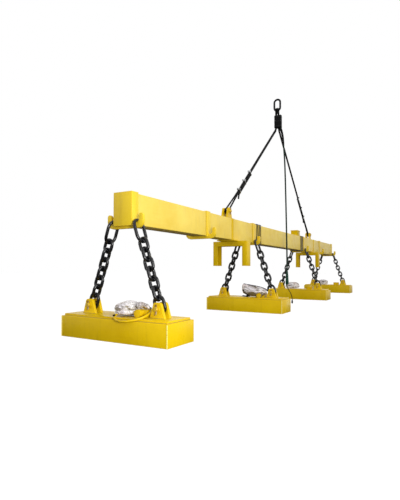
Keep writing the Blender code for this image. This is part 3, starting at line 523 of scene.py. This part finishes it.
def leg_loop(side):
    """One endless loop of rope: round the lug pin, up the leg, over the master link's crown, and back."""
    foot, slope, axis = leg_axis(side)
    crown = Vector((0.0, 0.0, LINK_Z))
    eye, bight = PIN_RADIUS + ROPE + PIN_ROOM, MASTER_WIRE + ROPE + LINK_ROOM
    top, bottom = [], []
    travelled = 0.0
    previous = foot
    for i, point in enumerate(axis):
        travelled += (point - previous).length
        previous = point
        after = axis[i + 1] if i + 1 < len(axis) else crown
        before = axis[i - 1] if i else foot
        tangent = (after - before).normalized()
        across = Vector((-tangent.z, 0.0, tangent.x)) * -side
        near_pin = max(0.0, 1.0 - travelled / 0.5)
        near_link = max(0.0, 1.0 - (LINK_Z - point.z) / 0.12)
        apart = ROPE_HALF_APART + (eye - ROPE_HALF_APART) * near_pin**1.3
        apart += (bight - ROPE_HALF_APART) * near_link**1.3
        top.append(point + apart * across)
        bottom.append(point - apart * across)
    normal = Vector((-slope.z, 0.0, slope.x)) * -side
    turns = [math.pi * i / 8 for i in range(9)]
    around_pin = [foot + eye * (math.cos(t) * normal - math.sin(t) * slope) for t in turns]
    over_link = [crown + bight * (math.cos(t) * side * X_AXIS + math.sin(t) * Z_AXIS) for t in turns]
    loop = top + over_link + bottom[::-1] + around_pin[::-1]
    return [p + sideways(side, p.z) + BEAM_Z * Z_AXIS for p in loop]


def sideways(side, z):
    """How far a leg is off the middle plane at a height: the left one to +Y, the right one to -Y."""
    share = min(1.0, max(0.0, 1.25 * (z - LUG_PIN_Z) / (LINK_Z - LUG_PIN_Z)))
    closing = LEG_CLOSING * min(1.0, max(0.0, (z - SLEEVE_TOP) / (LINK_Z - SLEEVE_TOP)))
    return Vector((0.0, -side * LEG_SIDE * share * (1 - closing), 0.0))


def strand_section(radius, lay_steps):
    """The outline of six strands laid round each other, turning as the rope runs."""
    strand = radius / 3
    outline = []
    for k in range(6):
        for offset in (-30, -10, 10):
            d = math.radians(offset)
            across = 2 * strand * math.sin(d)
            reach = 2 * strand * math.cos(d) + math.sqrt(max(0.0, strand**2 - across**2))
            outline.append((math.radians(60 * k + offset), reach))

    def section(i):
        turn = 2 * math.pi * i / lay_steps
        return [(reach * math.cos(t + turn), reach * math.sin(t + turn)) for t, reach in outline]

    return section


def make_sling():
    for name, side in (("left", -1), ("right", 1)):
        loop = even_curve(leg_loop(side), ROPE_STEP, closed=True)
        bm = bmesh.new()
        lays = round(len(loop) / LAY_STEPS)
        sweep(bm, loop, Y_AXIS, strand_section(ROPE, len(loop) / lays), closed=True)
        piece(f"rope_leg_{name}", mesh_of(bm), ROPE_STEEL, "spreader", (f"sling_leg_{name}",))
        make_clips(name, side)
        make_beam_lug(name, side)
    softened("gathering_sleeve", "sling_grip", SLEEVE, "spreader", 0.003)
    make_sleeve_bands()
    bm = bmesh.new()
    low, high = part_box("master_link")
    centre = Vector((0.0, 0.0, (low.z + high.z) / 2))
    path = oval(centre, Z_AXIS, Y_AXIS, MASTER_LENGTH, MASTER_WIDTH / 2 + MASTER_WIRE, MASTER_WIRE, 14)
    sweep(bm, path, X_AXIS, round_section(MASTER_WIRE, 18), closed=True)
    piece("master_link_ring", mesh_of(bm), MASTER, "master_link", ("master_link",))


def make_sleeve_bands():
    low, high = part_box("sling_grip")
    x, y0, y1, r = high.x + 0.002, low.y - 0.002, high.y + 0.002, 0.012
    strap = [(0.0015, 0.010), (-0.0015, 0.010), (-0.0015, -0.010), (0.0015, -0.010)]
    rounds = ((x - r, y1 - r, 0), (-x + r, y1 - r, 90), (-x + r, y0 + r, 180), (x - r, y0 + r, 270))
    for number, z in enumerate((low.z + 0.030, (low.z + high.z) / 2, high.z - 0.030), start=1):
        corners = []
        for cx, cy, start in rounds:
            for turn in (math.radians(start + a) for a in (0, 30, 60, 90)):
                corners.append(Vector((cx + r * math.cos(turn), cy + r * math.sin(turn), z)))
        bm = bmesh.new()
        sweep(bm, corners, Z_AXIS, lambda i: strap, closed=True)
        piece(f"sleeve_band_{number}", mesh_of(bm), MASTER, "spreader")


def make_clips(name, side):
    """Three wire rope clips, each a saddle and a U-bolt with two nuts, and the rope's drooping dead end."""
    foot, slope = leg_axis(side)[:2]
    across = Vector((-slope.z, 0.0, slope.x))
    if across.z < 0:
        across = -across
    start, end = CLIP_PLACES[2] + 0.035, CLIP_PLACES[0] - 0.020
    route = [foot + slope * s + across * TAIL_OFFSET for s in (start, 1.0, 0.86, 0.72, end)]
    route += [route[-1] - slope * 0.050 - across * 0.014, route[-1] - slope * 0.085 - across * 0.040]
    route = [p + sideways(side, p.z) + BEAM_Z * Z_AXIS for p in route]
    bm = bmesh.new()
    sweep(bm, even_curve(route, ROPE_STEP), Y_AXIS, strand_section(ROPE, LAY_STEPS))
    piece(f"dead_end_{name}", mesh_of(bm), ROPE_STEEL, "spreader", (f"rope_clips_{name}",))
    bm = bmesh.new()
    low, high, half = -0.056, 0.029, 0.0165
    nut = ((0.0095, 0.0), (0.0105, 0.001), (0.0105, 0.008), (0.0090, 0.0095))
    saddle = [(-0.020, -0.0215), (0.020, -0.0215), (0.020, 0.0215), (-0.020, 0.0215)]
    for place in CLIP_PLACES:
        centre = foot + slope * place
        centre = centre + sideways(side, centre.z) + BEAM_Z * Z_AXIS
        bow = [centre + across * (high + 0.020) + Y_AXIS * half]
        bow += [centre + across * (low + half + 0.010) + Y_AXIS * half]
        for t in (0.5, 1.0, 1.57, 2.14, 2.64):
            depth = low + half + 0.004 - half * math.sin(t)
            bow.append(centre + across * depth + Y_AXIS * half * math.cos(t))
        bow += [centre + across * (low + half + 0.010) - Y_AXIS * half]
        bow += [centre + across * (high + 0.020) - Y_AXIS * half]
        sweep(bm, even_curve(bow, 0.004), slope, round_section(0.005, 8))
        for hand in (-1, 1):
            turned(bm, nut, centre + across * (high + 0.005) + Y_AXIS * half * hand, across, 6)
        rows = []
        for h in (high - 0.006, high + 0.005):
            rows.append([bm.verts.new(centre + slope * a + Y_AXIS * b + across * h) for a, b in saddle])
        for k in range(4):
            bm.faces.new((rows[0][k], rows[0][(k + 1) % 4], rows[1][(k + 1) % 4], rows[1][k]))
        bm.faces.new(rows[0])
        bm.faces.new(rows[1])
    piece(f"clips_{name}", mesh_of(bm), ZINC, "spreader")


def make_beam_lug(name, side):
    softened(f"lug_{name}", f"beam_lug_{name}", YELLOW, "spreader", 0.0025)
    low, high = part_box(f"beam_lug_{name}")
    pad = 0.012
    z = BEAM_Z + 0.150 + 0.013
    for hand, y in (("front", -0.052), ("rear", 0.052)):
        foot = [Vector((low.x + pad, y, z)), Vector((high.x - pad, y, z))]
        weld(f"lug_{name}_weld_{hand}", foot, 0.005, "spreader")
    corners = ((low.x, low.y), (high.x, low.y), (high.x, high.y), (low.x, high.y))
    edge = [Vector((x, y, z - pad)) for x, y in corners]
    weld_round(f"lug_{name}_pad_weld_", edge, 0.005, "spreader")
    place = Vector((side * LUG_X, 0.0, LUG_PIN_Z + BEAM_Z))
    make_pin(f"lug_{name}_pin", f"lug_pin_{name}", place, Y_AXIS, 0.050, "spreader")


def make_pin(name, node, centre, axis, half_grip, body):
    """A chamfered pin with a head, a washer and a bent split pin with its ring."""
    bm = bmesh.new()
    r = PIN_RADIUS - 0.0002
    proud = half_grip + 0.026
    shank = ((r - 0.003, -proud), (r, -proud + 0.003), (r, half_grip + 0.0005), (r + 0.008, half_grip + 0.0006),
             (r + 0.010, half_grip + 0.002), (r + 0.010, half_grip + 0.010), (r + 0.007, half_grip + 0.0118))
    turned(bm, shank, centre, axis)
    piece(name, mesh_of(bm), PIN_STEEL, body, (node,))
    bm = bmesh.new()
    washer = ((r + 0.0005, -half_grip - 0.0075), (r + 0.011, -half_grip - 0.0075),
              (r + 0.012, -half_grip - 0.0065), (r + 0.012, -half_grip - 0.0010),
              (r + 0.0005, -half_grip - 0.0006))
    turned(bm, washer, centre, axis)
    down_way = -Z_AXIS
    across = axis.cross(down_way)
    piece(name + "_washer", mesh_of(bm), YELLOW, body)
    at = centre - axis * (half_grip + 0.017)
    for letter, hand, finish in (("a", -1, DULL_STEEL), ("b", 1, RUST)):
        bm = bmesh.new()
        leg = [at + down_way * -0.024 + across * 0.003 * hand,
               at + down_way * 0.022 + across * 0.003 * hand,
               at + down_way * 0.038 + across * (0.005 * hand + 0.002),
               at + down_way * (0.052 + 0.006 * hand) + across * (0.010 * hand + 0.004)]
        sweep(bm, even_curve(leg, 0.004), axis, round_section(0.0030, 6))
        piece(f"{name}_split_pin_{letter}", mesh_of(bm), finish, body)
    bm = bmesh.new()
    eye = [at + down_way * (-0.031 + 0.008 * math.cos(t)) + across * 0.008 * math.sin(t) for t in full_turn(12)]
    sweep(bm, eye, axis, round_section(0.0030, 6), closed=True)
    piece(name + "_split_pin_eye", mesh_of(bm), RUST, body)


# ---- chains ---------------------------------------------------------------------------------------
def oval(centre, along, across, inner_length, crown, wire, steps=10):
    """A link's centre line: two straight sides and two half-circle crowns, inner_length apart inside."""
    half = inner_length / 2 + wire - crown
    turns = [math.pi * i / steps for i in range(steps + 1)]
    points = []
    for sign in (1, -1):
        for t in turns:
            points.append(centre + sign * ((half + crown * math.sin(t)) * along + crown * math.cos(t) * across))
        side = [sign * (-half * share) for share in (-0.6, -0.2, 0.2, 0.6)] if half > 0.004 else []
        points += [centre + s * along - sign * crown * across for s in side]
    return points


def make_chain(number, name, side):
    """Eight forged and welded links from the hook's seat to the magnet's pin."""
    x = MAGNET_STATIONS[number - 1]
    pin = Vector((x, side * PIN_Y, PIN_Z))
    throat = Vector((x, side * THROAT_Y, THROAT_Z))
    seat = throat + (pin - throat).normalized() * (THROAT_RADIUS - SEAT_GAP)
    along = (pin - seat).normalized()
    length = (pin - seat).length + PIN_RADIUS + PIN_GAP
    spare = length - REGULAR_LINKS * LINK_PITCH
    lengths = [spare * (1 - END_LINK_SHARE)] + [LINK_PITCH] * REGULAR_LINKS + [spare * END_LINK_SHARE]
    crowns = [TOP_LINK_CROWN] + [LINK_CROWN] * REGULAR_LINKS + [END_LINK_CROWN]
    across = (X_AXIS, along.cross(X_AXIS))
    wire = WIRE - 0.0002
    travelled = 0.0
    bm = bmesh.new()
    for i, (pitch, crown) in enumerate(zip(lengths, crowns)):
        centre = seat + along * (travelled + pitch / 2)
        path = oval(centre, along, across[i % 2], pitch, crown, WIRE)
        joint = centre + crown * across[i % 2]
        sizes = [wire * (1 + 0.10 * max(0.0, 1 - (p - joint).length / 0.012)) for p in path]
        sweep(bm, path, along.cross(across[i % 2]), lambda j: ring(sizes[j], 12), closed=True)
        travelled += pitch
    body = f"chain_{number}_{name}"
    piece(body + "_links", mesh_of(bm), CHAIN, body, (body,))


# ---- beam -----------------------------------------------------------------------------------------
def make_beam():
    box_beam = softened("box_beam", "beam", BEAM_PAINT, "spreader", 0.006, 3)
    box_beam.data.materials.append(COLLAR_PAINT)
    for face in box_beam.data.polygons:
        face.material_index = int(abs(face.normal.x) > 0.9)
    low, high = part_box("beam")
    for i, station in enumerate(COLLAR_STATIONS, start=1):
        softened(f"collar_{i}", f"hook_collar_{i}", COLLAR_PAINT, "spreader", 0.0022)
        reach = 0.050
        for hand, x in (("a", station - reach), ("b", station + reach)):
            if low.x < x < high.x:
                loop = [Vector((x, y, BEAM_Z + z)) for y, z in BEAM_SECTION]
                weld_round(f"collar_{i}_weld_{hand}", loop, 0.004, "spreader", X_AXIS)
    for side in ("left", "right"):
        softened(f"frame_{side}", f"parking_frame_{side}", YELLOW, "spreader", 0.002)
    softened("junction_box_case", "junction_box", YELLOW, "spreader", 0.004)
    make_junction_details()
    make_lashings()


def make_junction_details():
    """Lid screws and a cable gland on the junction box."""
    low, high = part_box("junction_box")
    bm = bmesh.new()
    for x in (low.x + 0.014, high.x - 0.014):
        for y in (low.y + 0.014, high.y - 0.014):
            turned(bm, ((0.0055, -0.001), (0.0055, 0.002), (0.0040, 0.0035)), Vector((x, y, high.z)), Z_AXIS, 6)
    piece("junction_box_screws", mesh_of(bm), ZINC, "spreader")
    bm = bmesh.new()
    turned(bm, ((0.016, 0.0), (0.016, 0.010), (0.013, 0.012), (0.013, 0.024), (0.010, 0.028), (0.006, 0.030)),
           Vector((high.x - 0.006, (low.y + high.y) / 2, low.z + 0.045)), X_AXIS, 12)
    piece("junction_box_gland", mesh_of(bm), SLEEVE, "spreader")


def make_lashings():
    """Strands of old rope wound round the beam beside the two inner collars."""
    for name, start, way in (("left", -1.479 + 0.125, 1), ("right", 1.479 - 0.085, -1)):
        bm = bmesh.new()
        draw = random.Random(name)
        for turn in range(LASHING_TURNS):
            x = start + way * turn * LASHING_PITCH
            lean = draw.uniform(-0.010, 0.010)
            loop = []
            for y, z in ((-1, -1), (0, -1), (1, -1), (1, 0), (1, 1), (0, 1), (-1, 1), (-1, 0)):
                px = x + lean * z + draw.uniform(-0.002, 0.002)
                loop.append(Vector((px, y * (0.1 + LASHING_LIFT), BEAM_Z + z * (0.15 + LASHING_LIFT))))
            corners = []
            for a, b in zip(loop, loop[1:] + loop[:1]):
                corners += [a.lerp(b, s) for s in (0.06, 0.5, 0.94)]
            path = even_curve(corners, 0.008, closed=True)
            sweep(bm, path, X_AXIS, strand_section(LASHING_STRAND, 12), closed=True)
        finish = LASHING if name == "left" else PALE_LASHING
        piece(f"lashing_{name}", mesh_of(bm), finish, "spreader")


# ---- magnets --------------------------------------------------------------------------------------
def make_magnet(number):
    body = f"magnet_{number}"
    x = MAGNET_STATIONS[number - 1]
    softened(f"housing_{number}", f"magnet_{number}_housing", YELLOW, body, 0.003)
    softened(f"top_plate_{number}", f"magnet_{number}_top_plate", YELLOW, body, 0.0018)
    for node, finish in (("winding", COPPER), ("cover", STAINLESS)):  # these keep their CAD shape
        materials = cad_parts[f"magnet_{number}_{node}"].data.materials
        materials.clear()
        materials.append(finish)
    for name, side in (("front", -1), ("rear", 1)):
        place = Vector((x, side * PIN_Y, PIN_Z))
        make_pin(f"magnet_{number}_{name}_pin", f"magnet_{number}_pin_{name}", place, X_AXIS, 0.0575, body)
        make_chain(number, name, side)
    make_magnet_welds(number, x, body)
    make_pack(number, body)


def make_magnet_welds(number, x, body):
    low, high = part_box(f"magnet_{number}_housing")
    corners = ((-1, -1), (1, -1), (1, 1), (-1, 1))
    plate_x, plate_y, corner_x, corner_y = 0.185, 0.605, 0.2075, 0.6215
    ear_x, ear_half, top = 0.0585, 0.078, high.z + 0.0205
    edge = [Vector((x + a * plate_x, b * plate_y, high.z + 0.002)) for a, b in corners]
    weld_round(f"magnet_{number}_plate_weld_", edge, 0.005, body)
    for i, (a, b) in enumerate(corners, start=1):
        foot = Vector((x + a * corner_x, b * corner_y, low.z + 0.003))
        bead = [foot, foot + Vector((0, 0, high.z - low.z - 0.006))]
        # The corner beads take the pale weld paint, a painted highlight along each corner.
        weld(f"magnet_{number}_corner_weld_{i}", bead, 0.0070, body, normal=Y_AXIS, finish=WELD_HIGHLIGHT)
    for name, side in (("front", -1), ("rear", 1)):
        for hand, offset in (("a", -ear_x), ("b", ear_x)):
            bead = [Vector((x + offset, side * PIN_Y + end, top)) for end in (-ear_half, ear_half)]
            weld(f"magnet_{number}_ear_weld_{name}_{hand}", bead, 0.005, body)


def make_pack(number, body):
    """The magnet's coiled lead in stretch film: a crumpled bag on the plate and on the terminal box."""
    low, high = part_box(f"magnet_{number}_cable_pack")
    lean = PACK_LEANS[number - 1]
    centre, half = (low + high) / 2, (high - low) / 2
    half.z /= 1 + lean / 2
    centre.z = low.z + half.z
    x = MAGNET_STATIONS[number - 1]
    bm = bmesh.new()
    bmesh.ops.create_icosphere(bm, subdivisions=6, radius=1.0)
    # The fold value also sets the film's painted shade: low values in the hollows are darkened.
    fold_shade = bm.verts.layers.float.new("fold_shade")
    shift = Vector((number * 7.3, number * 3.1, number * 5.7))
    for vert in bm.verts:
        way = vert.co.copy()
        warp = way * 2.0 + shift + 0.55 * noise.noise_vector(way * 2.3 + shift)
        crease = min(1.0, noise.ridged_multi_fractal(warp * 0.8, 0.9, 2.1, 3, 1.0, 2.0) / 2.4)
        fine = noise.turbulence(warp * 3.0, 3, True)
        depth = 0.75 * crease + 0.35 * fine
        grow = 0.83 + 0.09 * noise.noise(way * 1.3 + shift) + 0.13 * depth
        full = 1 + PACK_FULLNESS * max(0.0, -way.z) ** 3
        if number == 2:
            point = on_wing(way, x) + way * (0.022 * depth - 0.012)
        else:
            point = Vector((way.x * full * half.x, way.y * full * half.y, way.z * half.z)) * grow
            if number == 1 and point.y < 0:
                point.y *= FIRST_PACK_SHARE
            point.z += lean * way.y / 2 * (point.z + half.z)
            point.z = max(point.z, 0.003 * fine - half.z + 0.004)
            point += centre
        vert.co = lifted_off(point, x)
        # The second pack's fold value drops towards its underside, so the painted shade makes it darker towards
        # the bottom.
        if number == 2 and way.z < 0:
            depth *= 1 + 0.9 * way.z
        vert[fold_shade] = max(0.0, min(1.0, depth))
    made = piece(f"cable_pack_{number}", mesh_of(bm), FILM, body, (f"magnet_{number}_cable_pack",))


def on_wing(way, x):
    """The point of the second magnet's pack in a direction from its middle."""
    first, last = WING[0][0], WING[-1][0]
    reach = math.copysign(abs(way.y) ** 0.75, way.y)
    y = (first + last) / 2 + (first - last) / 2 * reach
    for (y_a, top_a, foot_a), (y_b, top_b, foot_b) in zip(WING, WING[1:]):
        if y >= y_b:
            break
    share = (y_a - y) / (y_a - y_b)
    top, foot = top_a + share * (top_b - top_a), foot_a + share * (foot_b - foot_a)
    height = way.z / max(0.3, math.sqrt(max(0.0, 1 - way.y**2)))
    z = (top + foot) / 2 + (top - foot) / 2 * height + BEAM_Z
    return Vector((x - 0.020 + WING_HALF_X * way.x, y, z))


def make_wing_lead():
    """The dark lead along the upper edge of the second magnet's pack."""
    x = MAGNET_STATIONS[1] - 0.030
    route = [Vector((x, y, top + BEAM_Z)) for y, top, _ in WING[1:]] + [Vector((x, -0.352, -0.905 + BEAM_Z))]
    bm = bmesh.new()
    sweep(bm, even_curve(route, 0.008), X_AXIS, round_section(0.0085, 10))
    knot = Vector((x, -0.150, -0.832 + BEAM_Z))
    turned(bm, ((0.008, 0.0), (0.014, 0.005), (0.015, 0.020), (0.008, 0.026)), knot, Y_AXIS, 12)
    piece("wing_lead", mesh_of(bm), LEAD_SHEATH, "magnet_2")


def make_neck():
    """The twisted end of the first magnet's film, drawn out beside the drum."""
    x = MAGNET_STATIONS[0] - 0.030
    route = ((-0.190, -0.902, 0.036), (-0.225, -0.890, 0.026), (-0.258, -0.893, 0.017), (-0.286, -0.903, 0.021),
             (-0.308, -0.924, 0.010))
    path = even_curve([(x, y, z + BEAM_Z) for y, z, radius in route], 0.004)
    radii = even_curve([(radius, 0.0, 0.0) for y, z, radius in route], 0.0001)
    bm = bmesh.new()
    draw = random.Random(3)
    count = len(path)

    def section(i):
        size = radii[i * (len(radii) - 1) // (count - 1)].x
        outline = []
        for t in full_turn(16):
            across = size * (0.85 + 0.3 * draw.random()) * math.cos(t)
            outline.append((across, size * (0.85 + 0.3 * draw.random()) * math.sin(t)))
        return outline

    sweep(bm, path, X_AXIS, section)
    fold_shade = bm.verts.layers.float.new("fold_shade")
    for vert in bm.verts:
        # Random fold values, so the neck takes the film's painted shade in patches.
        vert[fold_shade] = draw.uniform(0.25, 0.60)
    piece("cable_pack_neck", mesh_of(bm), FILM, "magnet_1")


def lifted_off(point, x):
    """Film that would be inside the terminal box or the drum lies on it instead."""
    room = 0.004
    a, y, z = point.x - x, point.y, point.z
    into = (a - TERMINAL_BOX_X[0] + room, TERMINAL_BOX_X[1] + room - a, TERMINAL_BOX_Y[1] + room - y,
            y - TERMINAL_BOX_Y[0] + room, TERMINAL_BOX_TOP + room - z)
    if min(into) > 0:
        nearest = into.index(min(into[:1] + into[2:3] + into[4:]))
        push = {0: Vector((-1, 0, 0)), 2: Y_AXIS, 4: Z_AXIS}[nearest]
        point = point + push * into[nearest]
    away = Vector((0.0, point.y - DRUM_Y, point.z - DRUM_Z))
    if DRUM_FRONT - room < point.x - x < DRUM_BACK and away.length < DRUM_RADIUS + room:
        away = away.normalized() * (DRUM_RADIUS + room)
        point = Vector((point.x, DRUM_Y + away.y, DRUM_Z + away.z))
    return point


def make_lead_ends(body):
    """The second magnet's two lead ends, which stick out of the film, and the knot of tape round them."""
    x = MAGNET_STATIONS[1]
    ends = (
        ((-0.075, -0.035, 0.030), (-0.085, -0.010, 0.050), (-0.095, 0.020, 0.085), (-0.100, 0.035, 0.115)),
        ((-0.090, -0.075, 0.020), (-0.110, -0.040, 0.016), (-0.120, 0.000, 0.018), (-0.120, 0.035, 0.020)),
    )
    bm = bmesh.new()
    for end in ends:
        path = even_curve([Vector((x + a, y, PLATE_TOP + z)) for a, y, z in end], 0.006)
        sweep(bm, path, X_AXIS, round_section(0.0085, 10))
    knot = Vector((x - 0.100, -0.035, PLATE_TOP + 0.018))
    tape = ((0.006, 0.0), (0.016, 0.004), (0.019, 0.014), (0.017, 0.026), (0.007, 0.031))
    turned(bm, tape, knot - 0.015 * Y_AXIS, Y_AXIS, 12)
    piece("lead_ends", mesh_of(bm), SLEEVE, body)


def make_guard_bolts(body):
    """Dark bolts through the guard ring, one on each side."""
    x = MAGNET_STATIONS[0]
    tilt = math.radians(GUARD_TILT)
    back = Vector((math.cos(tilt), 0.0, math.sin(tilt)))
    up = Vector((-math.sin(tilt), 0.0, math.cos(tilt)))
    centre = Vector((x + GUARD_NEAR_X, GUARD_Y, GUARD_NEAR_Z)) + GUARD_RADIUS * back
    bolt = ((0.009, -0.014), (0.009, 0.010), (0.014, 0.010), (0.014, 0.018), (0.010, 0.020))
    bm = bmesh.new()
    for angle in (121.0, 318.0):
        turn = math.radians(angle)
        place = centre + GUARD_RADIUS * (math.cos(turn) * back + math.sin(turn) * Y_AXIS)
        turned(bm, bolt, place, up, 6)
    piece("guard_bolts", mesh_of(bm), SLEEVE, body)


make_camera()
make_studio()
make_cords()
make_sling()
make_beam()
for magnet in range(1, 5):
    make_magnet(magnet)
make_guard_bolts("magnet_1")
make_lead_ends("magnet_2")
make_wing_lead()
make_neck()
